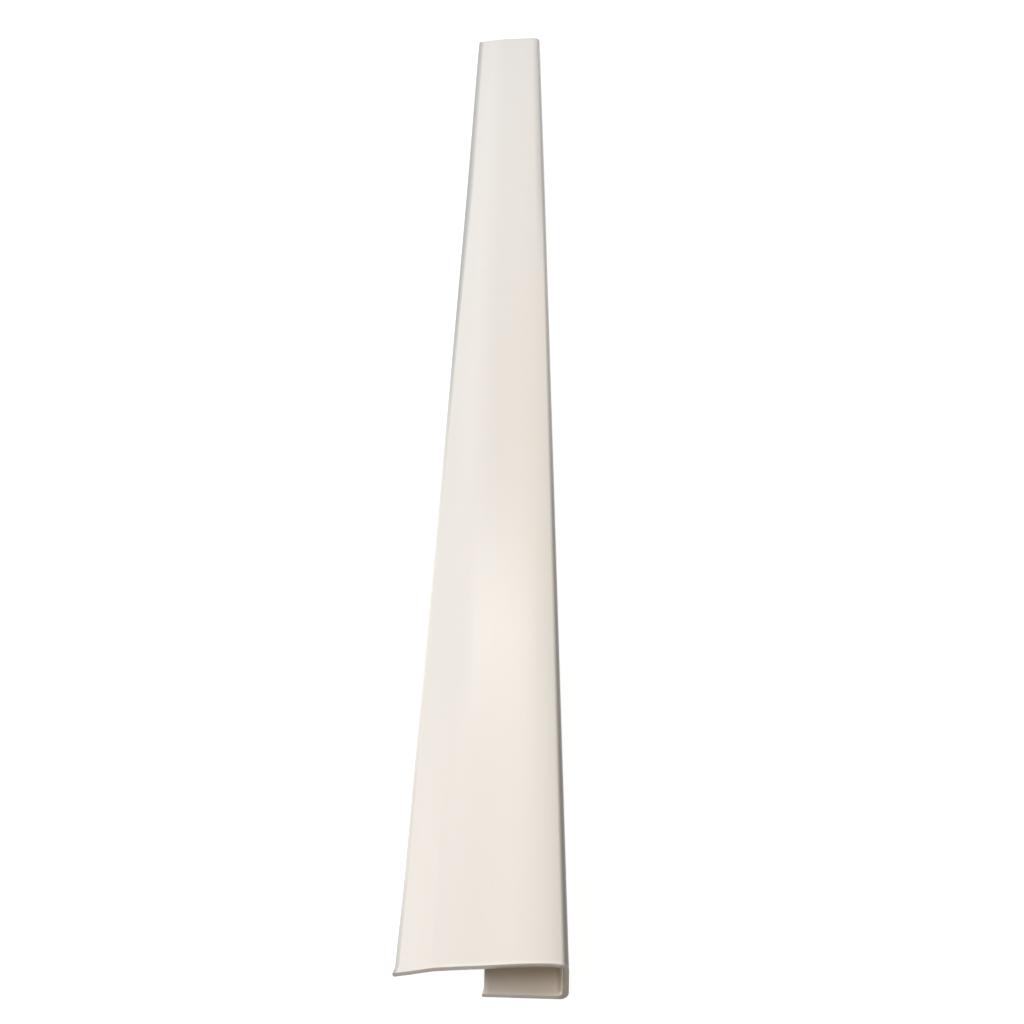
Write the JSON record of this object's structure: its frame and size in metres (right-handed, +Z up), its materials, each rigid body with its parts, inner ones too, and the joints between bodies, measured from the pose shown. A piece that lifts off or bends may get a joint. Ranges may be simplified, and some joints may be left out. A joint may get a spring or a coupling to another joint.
{
  "type": "plastic edge trim",
  "caption": "Extruded off-white plastic edge trim, J-shaped in section: a long bowed leg, a web and a short leg that grip the edge of a panel.",
  "frame": {"origin": "on the floor, at the middle of the strip's overall width and length", "axes": "+Z up from the floor, +Y along the strip, +X toward the web, so the channel opens to -X with the long leg on top"},
  "size_m": [0.0484, 1, 0.0138],
  "materials": {
    "trim_plastic": "satin off-white rigid PVC, as extruded"
  },
  "bodies": {
    "root": {"j_trim": "trim_plastic"}
  },
  "joints": []
}
